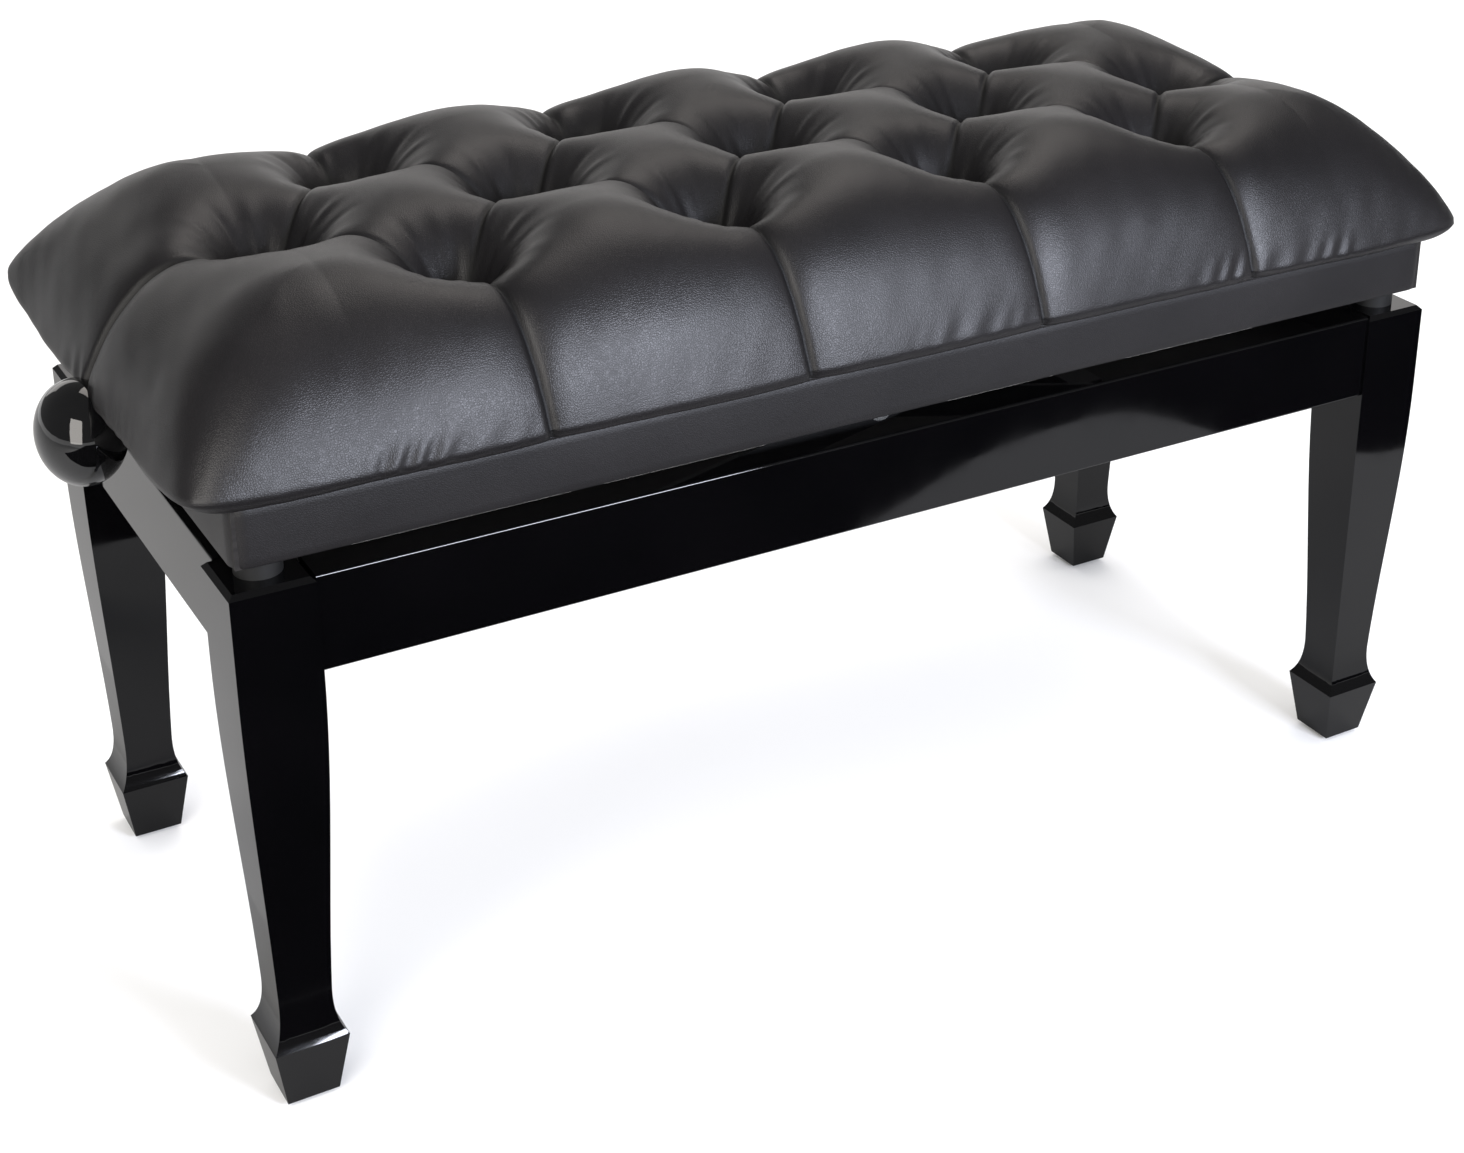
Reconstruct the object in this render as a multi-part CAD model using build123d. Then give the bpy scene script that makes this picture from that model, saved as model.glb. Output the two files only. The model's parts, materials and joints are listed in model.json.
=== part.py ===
from build123d import *
import math
import os

# Adjustable duet piano bench.
# Millimetres, +Z up, length along X, front at -Y.
# The origin is on the floor under the middle of the bench, and the seat is at its lowest.

# ---- wooden frame ----
FRAME_LENGTH = 880.0        # over the legs, along X
FRAME_DEPTH = 377.0         # over the legs, along Y
LEG_TOP = 357.0             # height of the leg tops
LEG_SIDE = 50.5             # square section at the top
LEG_BOTTOM = 3.0            # the glides lift the wood this far
ANKLE_HALF = 16.6           # half width where the leg is thinnest
ANKLE_HEIGHT = 77.0
SPADE_HALF = 23.3           # half width of the spade foot
SPADE_HEIGHT = 45.0
TOE_HALF = 16.4             # half width at the floor
LEG_CHAMFER = 3.0
EDGE_ROUND = 1.6

APRON_HEIGHT = 61.0
APRON_THICK = 26.0
LONG_APRON_INSET = 1.7      # front and back aprons, behind the leg faces
END_APRON_INSET = 6.5
TENON_LENGTH = 15.0
TENON_THICK = 9.0
TENON_HEIGHT = 41.0

BLOCK_THICK = 20.0          # diagonal corner blocks
BLOCK_HEIGHT = 42.0
BLOCK_GAP = 2.0             # from the leg's inner corner
BOLT_DIAMETER = 8.0
BOLT_IN_LEG = 24.0
BOLT_NUT = 13.0             # across flats
BOLT_NUT_HEIGHT = 6.5

GLIDE_DIAMETER = 24.0
GLIDE_PIN = 4.0
GLIDE_PIN_LENGTH = 14.0

BUMPER_DIAMETER = 28.0
BUMPER_PEG = 7.0
BUMPER_PEG_LENGTH = 12.0
BUMPER_GAP = 0.2            # to the seat box at its lowest

# ---- seat ----
SEAT_BOTTOM = 371.0         # underside of the seat box at its lowest
BOX_LENGTH = 868.0
BOX_DEPTH = 372.0
RAIL_THICK = 16.0
RAIL_TOP = 400.0
BOARD_TOP = 409.0
BAND_THICK = 2.0
BAND_TOP = 407.0
WELT_TOP = 411.0
WELT_PROUD = 1.5            # beyond the band

CUSHION_LENGTH = 922.0
CUSHION_DEPTH = 396.0
CUSHION_TOP = 498.0
CUSHION_CORNER = 46.0
CUSHION_SHOULDER = 40.0
CUSHION_UNDER = 28.0
COVER_THICK = 1.6
PIT_PITCH = 173.0           # between buttons along the bench
PIT_ROW = 92.0              # between the three rows
PIT_TOP_RADIUS = 27.0
PIT_FLOOR_RADIUS = 10.5
PIT_FLOOR = 446.0
BUTTON_DIAMETER = 19.0
BUTTON_HEIGHT = 7.0

# ---- scissor lift ----
ARM_SPAN = 360.0            # between the end pivots of one arm
ARM_WIDTH = 20.0
ARM_THICK = 4.0
LOW_PIVOT_Z = 318.0
HIGH_PIVOT_Z = 388.0
PIVOT_X = -176.6            # the fixed pivots, one above the other
IDLER_OUT = 156.0           # outer face of the idler arms, along Y
DRIVE_OUT = 147.5           # outer face of the drive arms
ROD = 10.0
CENTRE_ROD = 12.0
RUNNING_FIT = 0.05          # on the radius
CROSS_TUBE = 18.0
TRAVEL = 36.0               # room that the sliding ends need
BUSH_DIAMETER = 14.0
SLOT_PLAY = 0.3
LOWER_RAIL_THICK = 3.0
LOWER_RAIL_LOW = 302.0
LOWER_RAIL_HIGH = 332.0
LOWER_RAIL_LIP = 18.0
UPPER_RAIL_THICK = 5.0
UPPER_RAIL_LOW = 374.0
STEEL_RAIL_HALF = 216.0     # half length of the steel rails
SCREW_AT = 205.0            # rail screws, from the middle
WOOD_SCREW = 4.0
WOOD_SCREW_LENGTH = 14.0
WOOD_SCREW_HEAD = 8.5
WOOD_SCREW_HEAD_HEIGHT = 2.0

# ---- lift screw ----
CROSSHEAD_WIDE = 24.0
CROSSHEAD_TALL = 20.0
NUT_DIAMETER = 15.0
NUT_FLANGE = 19.0
NUT_FLANGE_THICK = 3.0
LIFT_SCREW = 12.0
LIFT_SCREW_HALF = 458.0
SCREW_BORE = 18.0           # through wood and leather
BEARING_PLATE = 44.0
BEARING_HEIGHT = 26.0
BEARING_THICK = 3.0
COLLAR_DIAMETER = 20.0
COLLAR_WIDE = 8.0
END_PLAY = 0.3
ROSETTE_DIAMETER = 33.0
ROSETTE_THICK = 1.5
KNOB_NECK = 13.0            # neck radius
KNOB_START = 439.0
KNOB_CENTRE = 466.5
KNOB_HALF = 27.0            # along the screw
KNOB_RADIUS = 33.0
SET_SCREW = 4.0

# ---- worked out from the above ----
LEG_X = (FRAME_LENGTH - LEG_SIDE) / 2
LEG_Y = (FRAME_DEPTH - LEG_SIDE) / 2
LEG_IN_X = LEG_X - LEG_SIDE / 2
LEG_IN_Y = LEG_Y - LEG_SIDE / 2
LONG_APRON_OUT = FRAME_DEPTH / 2 - LONG_APRON_INSET
END_APRON_OUT = FRAME_LENGTH / 2 - END_APRON_INSET
LONG_APRON_IN = LONG_APRON_OUT - APRON_THICK
END_APRON_IN = END_APRON_OUT - APRON_THICK
APRON_MID_Z = LEG_TOP - APRON_HEIGHT / 2
BOX_IN_X = BOX_LENGTH / 2 - RAIL_THICK
BOX_IN_Y = BOX_DEPTH / 2 - RAIL_THICK
REST_ANGLE = math.degrees(math.asin((HIGH_PIVOT_Z - LOW_PIVOT_Z) / ARM_SPAN))
SLIDER_X = PIVOT_X + ARM_SPAN * math.cos(math.radians(REST_ANGLE))
CENTRE_X = (PIVOT_X + SLIDER_X) / 2
CENTRE_Z = (LOW_PIVOT_Z + HIGH_PIVOT_Z) / 2
CORNERS = [("front_left", -1, -1), ("front_right", 1, -1), ("back_left", -1, 1), ("back_right", 1, 1)]
SIDES = [("front", -1), ("back", 1)]
ENDS = [("left", -1), ("right", 1)]


def span(x0, x1, y0, y1, z0, z1):
    """A box between two corners, given in any order."""
    middle = Pos((x0 + x1) / 2, (y0 + y1) / 2, (z0 + z1) / 2)
    return middle * Box(abs(x1 - x0), abs(y1 - y0), abs(z1 - z0))


def rod_x(radius, x0, x1, y=0.0, z=HIGH_PIVOT_Z):
    return Pos((x0 + x1) / 2, y, z) * Rot(0, 90, 0) * Cylinder(radius, abs(x1 - x0))


def rod_y(radius, y0, y1, x, z):
    return Pos(x, (y0 + y1) / 2, z) * Rot(90, 0, 0) * Cylinder(radius, abs(y1 - y0))


def rod_z(radius, z0, z1, x, y):
    return Pos(x, y, (z0 + z1) / 2) * Cylinder(radius, abs(z1 - z0))


def fused(shapes):
    """Separate solids side by side in one node."""
    return Compound(children=list(shapes))


# ---- wooden frame ----
def leg_profile():
    """Half the leg's outline in XZ, mirrored: toe, spade, ankle, then a slow swelling taper."""
    top_half = LEG_SIDE / 2
    apron_low = LEG_TOP - APRON_HEIGHT
    toe = Line((0, LEG_BOTTOM), (TOE_HALF, LEG_BOTTOM))
    flank = Line((TOE_HALF, LEG_BOTTOM), (SPADE_HALF, SPADE_HEIGHT))
    instep = Spline(
        [(SPADE_HALF, SPADE_HEIGHT), (ANKLE_HALF, ANKLE_HEIGHT)],
        tangents=[(-0.62, 0.78), (0.03, 1.0)],
    )
    shin = Spline(
        [(ANKLE_HALF, ANKLE_HEIGHT), (top_half, apron_low)],
        tangents=[(0.03, 1.0), (0.0, 1.0)],
    )
    post = Line((top_half, apron_low), (top_half, LEG_TOP))
    cap = Line((top_half, LEG_TOP), (0, LEG_TOP))
    back = Line((0, LEG_TOP), (0, LEG_BOTTOM))
    half = make_face(Curve() + [toe, flank, instep, shin, post, cap, back])
    return half + mirror(half, about=Plane.YZ)


def leg_blank():
    """Two crossed extrusions of one outline make a square leg with mitred edges."""
    depth = LEG_SIDE
    across = extrude(Plane.XZ * leg_profile(), depth, both=True)
    along = extrude(Plane.YZ * leg_profile(), depth, both=True)
    blank = across & along
    top = blank.faces().sort_by(Axis.Z)[-1]
    return chamfer(top.edges(), LEG_CHAMFER)


def tenon_x(sx, sy, grow=0.0):
    y = sy * (LONG_APRON_OUT - APRON_THICK / 2)
    return span(sx * LEG_IN_X, sx * (LEG_IN_X + TENON_LENGTH), y - TENON_THICK / 2, y + TENON_THICK / 2,
                APRON_MID_Z - TENON_HEIGHT / 2 - grow, APRON_MID_Z + TENON_HEIGHT / 2 + grow)


def tenon_y(sx, sy, grow=0.0):
    x = sx * (END_APRON_OUT - APRON_THICK / 2)
    return span(x - TENON_THICK / 2, x + TENON_THICK / 2, sy * LEG_IN_Y, sy * (LEG_IN_Y + TENON_LENGTH),
                APRON_MID_Z - TENON_HEIGHT / 2 - grow, APRON_MID_Z + TENON_HEIGHT / 2 + grow)


def diagonal_bolt(sx, sy, radius, start, end):
    """A cylinder on the corner's diagonal, measured inwards from the leg's inner corner."""
    angle = math.degrees(math.atan2(-sy, -sx))
    place = Pos(sx * LEG_IN_X, sy * LEG_IN_Y, APRON_MID_Z) * Rot(0, 0, angle)
    return place * Pos((start + end) / 2, 0, 0) * Rot(0, 90, 0) * Cylinder(radius, end - start)


def leg(sx, sy):
    body = Pos(sx * LEG_X, sy * LEG_Y, 0) * leg_blank()
    body -= tenon_x(sx, sy)
    body -= tenon_y(sx, sy)
    body -= diagonal_bolt(sx, sy, BOLT_DIAMETER / 2, -BOLT_IN_LEG, 5)
    body -= rod_z(GLIDE_PIN / 2, LEG_BOTTOM, LEG_BOTTOM + GLIDE_PIN_LENGTH, sx * LEG_X, sy * LEG_Y)
    body -= rod_z(BUMPER_PEG / 2, LEG_TOP - BUMPER_PEG_LENGTH, LEG_TOP, sx * LEG_X, sy * LEG_Y)
    return body


def long_apron(sy):
    board = span(-LEG_IN_X, LEG_IN_X, sy * LONG_APRON_IN, sy * LONG_APRON_OUT,
                 LEG_TOP - APRON_HEIGHT, LEG_TOP)
    outer = board.faces().sort_by(Axis.Y)[-1 if sy > 0 else 0]
    board = fillet(outer.edges().filter_by(Axis.X), EDGE_ROUND)
    board += tenon_x(-1, sy)
    board += tenon_x(1, sy)
    for x in (-SCREW_AT, 0, SCREW_AT):
        board -= wood_screw_shank(x, sy, LONG_APRON_IN, lower_screw_z())
    return board


def end_apron(sx):
    board = span(sx * END_APRON_IN, sx * END_APRON_OUT, -LEG_IN_Y, LEG_IN_Y,
                 LEG_TOP - APRON_HEIGHT, LEG_TOP)
    outer = board.faces().sort_by(Axis.X)[-1 if sx > 0 else 0]
    board = fillet(outer.edges().filter_by(Axis.Y), EDGE_ROUND)
    return board + tenon_y(sx, -1) + tenon_y(sx, 1)


def corner_block(sx, sy):
    """A diagonal block that fills the corner between two aprons, just clear of the leg."""
    angle = math.degrees(math.atan2(-sy, -sx))
    place = Pos(sx * LEG_IN_X, sy * LEG_IN_Y, APRON_MID_Z) * Rot(0, 0, angle)
    slab = place * Pos(BLOCK_GAP + BLOCK_THICK / 2, 0, 0) * Box(BLOCK_THICK, 200, BLOCK_HEIGHT)
    inside = span(0, sx * END_APRON_IN, 0, sy * LONG_APRON_IN, 0, LEG_TOP)
    block = slab & inside
    return block - diagonal_bolt(sx, sy, BOLT_DIAMETER / 2, -5, BLOCK_GAP + BLOCK_THICK + 5)


def corner_bolt(sx, sy):
    """A bolt from the leg through the block, with its nut and washer."""
    face = BLOCK_GAP + BLOCK_THICK
    shank = diagonal_bolt(sx, sy, BOLT_DIAMETER / 2, -BOLT_IN_LEG, face + BOLT_NUT_HEIGHT + 5)
    washer = diagonal_bolt(sx, sy, BOLT_NUT * 0.75, face, face + 1.5)
    angle = math.degrees(math.atan2(-sy, -sx))
    place = Pos(sx * LEG_IN_X, sy * LEG_IN_Y, APRON_MID_Z) * Rot(0, 0, angle) * Pos(face + 1.5, 0, 0)
    hexagon = RegularPolygon(BOLT_NUT / 2, 6, major_radius=False)
    nut = place * extrude(Plane.YZ * hexagon, BOLT_NUT_HEIGHT)
    return shank + washer + nut


def foot_glide(sx, sy):
    x, y = sx * LEG_X, sy * LEG_Y
    disc = rod_z(GLIDE_DIAMETER / 2, 0, LEG_BOTTOM, x, y)
    disc = chamfer(disc.edges().group_by(Axis.Z)[0], 0.8)
    return disc + rod_z(GLIDE_PIN / 2, LEG_BOTTOM, LEG_BOTTOM + GLIDE_PIN_LENGTH, x, y)


def seat_bumper(sx, sy):
    x, y = sx * LEG_X, sy * LEG_Y
    disc = rod_z(BUMPER_DIAMETER / 2, LEG_TOP, SEAT_BOTTOM - BUMPER_GAP, x, y)
    disc = fillet(disc.edges().group_by(Axis.Z)[-1], 2.0)
    return disc + rod_z(BUMPER_PEG / 2, LEG_TOP - BUMPER_PEG_LENGTH, LEG_TOP, x, y)


# ---- steel rails and scissor arms ----
def lower_screw_z():
    return LOW_PIVOT_Z


def wood_screw_shank(x, sy, face, z):
    return rod_y(WOOD_SCREW / 2, sy * face, sy * (face + WOOD_SCREW_LENGTH), x, z)


def wood_screw(x, sy, face, rail, z):
    """A pan-head screw through a steel rail of the given thickness into wood at the given face."""
    shank = rod_y(WOOD_SCREW / 2, sy * (face - rail), sy * (face + WOOD_SCREW_LENGTH), x, z)
    head_end = face - rail - WOOD_SCREW_HEAD_HEIGHT
    return shank + rod_y(WOOD_SCREW_HEAD / 2, sy * head_end, sy * (face - rail), x, z)


def slot_cut(width, y0, y1, z):
    """A level slot for a sliding end, with round ends, from its rest place inwards."""
    left = SLIDER_X - TRAVEL
    middle = span(left, SLIDER_X, y0, y1, z - width / 2, z + width / 2)
    return middle + rod_y(width / 2, y0, y1, left, z) + rod_y(width / 2, y0, y1, SLIDER_X, z)


def lower_rail(sy):
    inner = LONG_APRON_IN - LOWER_RAIL_THICK
    rail = span(-STEEL_RAIL_HALF, STEEL_RAIL_HALF, sy * inner, sy * LONG_APRON_IN,
                LOWER_RAIL_LOW, LOWER_RAIL_HIGH)
    rail += span(-STEEL_RAIL_HALF, STEEL_RAIL_HALF, sy * (LONG_APRON_IN - LOWER_RAIL_LIP), sy * inner,
                 LOWER_RAIL_LOW, LOWER_RAIL_LOW + LOWER_RAIL_THICK)
    rail -= rod_y(ROD / 2, sy * inner, sy * LONG_APRON_IN, PIVOT_X, LOW_PIVOT_Z)
    rail -= slot_cut(BUSH_DIAMETER + 2 * SLOT_PLAY, sy * inner, sy * LONG_APRON_IN, LOW_PIVOT_Z)
    for x in (-SCREW_AT, 0, SCREW_AT):
        rail -= rod_y(WOOD_SCREW / 2, sy * inner, sy * LONG_APRON_IN, x, lower_screw_z())
    return rail


def upper_rail(sy):
    inner = BOX_IN_Y - UPPER_RAIL_THICK
    rail = span(-STEEL_RAIL_HALF, STEEL_RAIL_HALF, sy * inner, sy * BOX_IN_Y, UPPER_RAIL_LOW, RAIL_TOP)
    rail -= rod_y(ROD / 2, sy * inner, sy * BOX_IN_Y, PIVOT_X, HIGH_PIVOT_Z)
    rail -= slot_cut(ROD + 2 * SLOT_PLAY, sy * inner, sy * BOX_IN_Y, HIGH_PIVOT_Z)
    for x in (-SCREW_AT, 0, SCREW_AT):
        rail -= rod_y(WOOD_SCREW / 2, sy * inner, sy * BOX_IN_Y, x, HIGH_PIVOT_Z)
    return rail


def arm(sy, outer, rising, bores):
    """A flat link with round ends; bores are the radii at its left, middle and right pivots."""
    angle = -REST_ANGLE if rising else REST_ANGLE
    y0, y1 = sy * outer, sy * (outer - ARM_THICK)
    flat = Pos(CENTRE_X, (y0 + y1) / 2, CENTRE_Z) * Rot(0, angle, 0)
    link = flat * Box(ARM_SPAN, ARM_THICK, ARM_WIDTH)
    for place in (-ARM_SPAN / 2, ARM_SPAN / 2):
        link += flat * Pos(place, 0, 0) * Rot(90, 0, 0) * Cylinder(ARM_WIDTH / 2, ARM_THICK)
    for place, bore in zip((-ARM_SPAN / 2, 0, ARM_SPAN / 2), bores):
        link -= flat * Pos(place, 0, 0) * Rot(90, 0, 0) * Cylinder(bore, ARM_THICK)
    return link


def drive_arm(sy):
    running = ROD / 2 + RUNNING_FIT
    return arm(sy, DRIVE_OUT, True, (running, CENTRE_ROD / 2, running))


def idler_arm(sy):
    return arm(sy, IDLER_OUT, False, (ROD / 2 + RUNNING_FIT, CENTRE_ROD / 2 + RUNNING_FIT, ROD / 2))


def drive_cross_tube():
    """The tube round the lower rod that ties the two drive arms together."""
    half = DRIVE_OUT - ARM_THICK
    tube = rod_y(CROSS_TUBE / 2, -half, half, PIVOT_X, LOW_PIVOT_Z)
    return tube - rod_y(ROD / 2 + RUNNING_FIT, -half, half, PIVOT_X, LOW_PIVOT_Z)


def arm_spacer(sy):
    y0, y1 = sy * DRIVE_OUT, sy * (IDLER_OUT - ARM_THICK - END_PLAY)
    ring = rod_y(ARM_WIDTH / 2, y0, y1, CENTRE_X, CENTRE_Z)
    return ring - rod_y(CENTRE_ROD / 2, y0, y1, CENTRE_X, CENTRE_Z)


def retaining_ring(sy):
    y0, y1 = sy * (IDLER_OUT + END_PLAY), sy * (IDLER_OUT + END_PLAY + 0.8)
    ring = rod_y(CENTRE_ROD / 2 + 2.5, y0, y1, CENTRE_X, CENTRE_Z)
    return ring - rod_y(CENTRE_ROD / 2, y0, y1, CENTRE_X, CENTRE_Z)


def centre_rod():
    half = IDLER_OUT + END_PLAY + 0.8
    return rod_y(CENTRE_ROD / 2, -half, half, CENTRE_X, CENTRE_Z)


def slide_bush(sy):
    y0, y1 = sy * (LONG_APRON_IN - LOWER_RAIL_THICK), sy * (LONG_APRON_IN - 2 * END_PLAY)
    ring = rod_y(BUSH_DIAMETER / 2, y0, y1, SLIDER_X, LOW_PIVOT_Z)
    return ring - rod_y(ROD / 2, y0, y1, SLIDER_X, LOW_PIVOT_Z)


def upper_pivot_pin(sy):
    """A shouldered pin in the upper rail that carries one idler arm."""
    inner_face = IDLER_OUT - ARM_THICK - END_PLAY
    pin = rod_y(ROD / 2, sy * inner_face, sy * BOX_IN_Y, PIVOT_X, HIGH_PIVOT_Z)
    return pin + rod_y(ROD * 0.75, sy * (inner_face - 2.0), sy * inner_face, PIVOT_X, HIGH_PIVOT_Z)


# ---- seat box and cushion ----
def long_box_rail(sy):
    rail = span(-BOX_LENGTH / 2, BOX_LENGTH / 2, sy * BOX_IN_Y, sy * BOX_DEPTH / 2, SEAT_BOTTOM, RAIL_TOP)
    for x in (-SCREW_AT, 0, SCREW_AT):
        rail -= wood_screw_shank(x, sy, BOX_IN_Y, HIGH_PIVOT_Z)
    return rail


def end_box_rail(sx):
    rail = span(sx * BOX_IN_X, sx * BOX_LENGTH / 2, -BOX_IN_Y, BOX_IN_Y, SEAT_BOTTOM, RAIL_TOP)
    rail -= rod_x(SCREW_BORE / 2, sx * BOX_IN_X, sx * BOX_LENGTH / 2)
    for y in plate_screw_places():
        rail -= rod_x(WOOD_SCREW / 2, sx * BOX_IN_X, sx * (BOX_IN_X + WOOD_SCREW_LENGTH), y)
    return rail


def plate_screw_places():
    return (-BEARING_PLATE / 2 + 7, BEARING_PLATE / 2 - 7)


def seat_board():
    return span(-BOX_LENGTH / 2, BOX_LENGTH / 2, -BOX_DEPTH / 2, BOX_DEPTH / 2, RAIL_TOP, BOARD_TOP)


def ring(grow, z0, z1, corner):
    """A rectangular wrap round the seat box, of the given thickness."""
    outer = RectangleRounded(BOX_LENGTH + 2 * grow, BOX_DEPTH + 2 * grow, corner)
    inner = Rectangle(BOX_LENGTH, BOX_DEPTH)
    return Pos(0, 0, z0) * extrude(outer - inner, z1 - z0)


def leather_band():
    band = ring(BAND_THICK, SEAT_BOTTOM, BAND_TOP, BAND_THICK)
    for sx in (-1, 1):
        band -= rod_x(SCREW_BORE / 2, sx * BOX_LENGTH / 2, sx * (BOX_LENGTH / 2 + BAND_THICK))
    return band


def welt():
    return ring(BAND_THICK + WELT_PROUD, BAND_TOP, WELT_TOP, BAND_THICK + WELT_PROUD)


def pit_places():
    """Three rows of buttons, four, five and four, the middle row half a pitch out of step."""
    places = []
    for row, count in ((-1, 4), (0, 5), (1, 4)):
        for i in range(count):
            places.append(((i - (count - 1) / 2) * PIT_PITCH, row * PIT_ROW))
    return places


def cushion_block(shrink):
    """A rounded block; shrink takes one skin's thickness off every side but the bottom."""
    low = WELT_TOP + shrink
    height = CUSHION_TOP - shrink - low
    plan = RectangleRounded(CUSHION_LENGTH - 2 * shrink, CUSHION_DEPTH - 2 * shrink, CUSHION_CORNER - shrink)
    block = Pos(0, 0, low) * extrude(plan, height)
    block = fillet(block.edges().group_by(Axis.Z)[-1], CUSHION_SHOULDER - shrink)
    return fillet(block.edges().group_by(Axis.Z)[0], CUSHION_UNDER - shrink)


def pit(x, y):
    depth = CUSHION_TOP - PIT_FLOOR
    return Pos(x, y, PIT_FLOOR + depth / 2) * Cone(PIT_FLOOR_RADIUS, PIT_TOP_RADIUS, depth)


def foam_pad():
    neck = span(-BOX_LENGTH / 2, BOX_LENGTH / 2, -BOX_DEPTH / 2, BOX_DEPTH / 2,
                BOARD_TOP, WELT_TOP + COVER_THICK)
    pad = cushion_block(COVER_THICK) + neck
    for x, y in pit_places():
        pad -= pit(x, y)
    return pad


def cushion_cover():
    cover = cushion_block(0) - cushion_block(COVER_THICK)
    cover -= span(-BOX_LENGTH / 2, BOX_LENGTH / 2, -BOX_DEPTH / 2, BOX_DEPTH / 2,
                  BOARD_TOP, WELT_TOP + COVER_THICK)
    for x, y in pit_places():
        cover -= pit(x, y)
    return cover


def cover_button(x, y):
    """A domed, leather-covered button on the floor of its pit."""
    disc = rod_z(BUTTON_DIAMETER / 2, PIT_FLOOR, PIT_FLOOR + BUTTON_HEIGHT, x, y)
    return fillet(disc.edges().group_by(Axis.Z)[-1], BUTTON_HEIGHT * 0.6)


# ---- crosshead, lift screw and knobs ----
def crosshead_bar():
    """A square bar across the bench with round journals that slide in the upper rails."""
    shoulder = DRIVE_OUT - ARM_THICK - END_PLAY
    bar = span(SLIDER_X - CROSSHEAD_WIDE / 2, SLIDER_X + CROSSHEAD_WIDE / 2, -shoulder, shoulder,
               HIGH_PIVOT_Z - CROSSHEAD_TALL / 2, HIGH_PIVOT_Z + CROSSHEAD_TALL / 2)
    tip = BOX_IN_Y - 2 * END_PLAY
    bar += rod_y(ROD / 2, -tip, tip, SLIDER_X, HIGH_PIVOT_Z)
    return bar - rod_x(NUT_DIAMETER / 2, SLIDER_X - CROSSHEAD_WIDE / 2, SLIDER_X + CROSSHEAD_WIDE / 2)


def lift_nut():
    face = SLIDER_X + CROSSHEAD_WIDE / 2
    nut = rod_x(NUT_DIAMETER / 2, SLIDER_X - CROSSHEAD_WIDE / 2, face)
    nut += rod_x(NUT_FLANGE / 2, face, face + NUT_FLANGE_THICK)
    return nut - rod_x(LIFT_SCREW / 2 + RUNNING_FIT, SLIDER_X - CROSSHEAD_WIDE, face + NUT_FLANGE_THICK)


def lift_screw():
    return rod_x(LIFT_SCREW / 2, -LIFT_SCREW_HALF, LIFT_SCREW_HALF)


def bearing_plate(sx):
    inner = BOX_IN_X - BEARING_THICK
    plate = span(sx * inner, sx * BOX_IN_X, -BEARING_PLATE / 2, BEARING_PLATE / 2,
                 HIGH_PIVOT_Z - BEARING_HEIGHT / 2 + 1, HIGH_PIVOT_Z + BEARING_HEIGHT / 2 - 1)
    plate -= rod_x(LIFT_SCREW / 2 + RUNNING_FIT, sx * inner, sx * BOX_IN_X)
    for y in plate_screw_places():
        plate -= rod_x(WOOD_SCREW / 2, sx * inner, sx * BOX_IN_X, y)
    return plate


def plate_screw(sx, y):
    inner = BOX_IN_X - BEARING_THICK
    shank = rod_x(WOOD_SCREW / 2, sx * inner, sx * (BOX_IN_X + WOOD_SCREW_LENGTH), y)
    return shank + rod_x(WOOD_SCREW_HEAD / 2 - 0.5, sx * (inner - WOOD_SCREW_HEAD_HEIGHT), sx * inner, y)


def thrust_collar(sx):
    face = BOX_IN_X - BEARING_THICK - END_PLAY
    collar = rod_x(COLLAR_DIAMETER / 2, sx * (face - COLLAR_WIDE), sx * face)
    return collar - rod_x(LIFT_SCREW / 2, sx * (face - COLLAR_WIDE), sx * face)


def rosette(sx):
    face = BOX_LENGTH / 2 + BAND_THICK
    disc = rod_x(ROSETTE_DIAMETER / 2, sx * face, sx * (face + ROSETTE_THICK))
    return disc - rod_x(SCREW_BORE / 2, sx * face, sx * (face + ROSETTE_THICK))


def knob(sx):
    """A flattened ball on a straight neck with a blind bore, turned about the screw's axis."""
    bore = LIFT_SCREW / 2
    sweep = 180 - math.degrees(math.asin(KNOB_NECK / KNOB_RADIUS))
    ball = EllipticalCenterArc((KNOB_CENTRE, 0), KNOB_HALF, KNOB_RADIUS, 0, arc_size=sweep)
    rest = Polyline(ball @ 1, (KNOB_START, KNOB_NECK), (KNOB_START, bore), (LIFT_SCREW_HALF, bore),
                    (LIFT_SCREW_HALF, 0), ball @ 0)
    solid = Pos(0, 0, HIGH_PIVOT_Z) * revolve(make_face(Curve() + [ball, rest]), Axis.X)
    solid -= set_screw_body()
    return solid if sx > 0 else mirror(solid, about=Plane.YZ)


def set_screw_body():
    """The headless screw through the knob's neck, pointing down."""
    return rod_z(SET_SCREW / 2, HIGH_PIVOT_Z - KNOB_NECK + 1, HIGH_PIVOT_Z - LIFT_SCREW / 2, KNOB_START + 3.5, 0)


def set_screw(sx):
    return set_screw_body() if sx > 0 else mirror(set_screw_body(), about=Plane.YZ)


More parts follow.
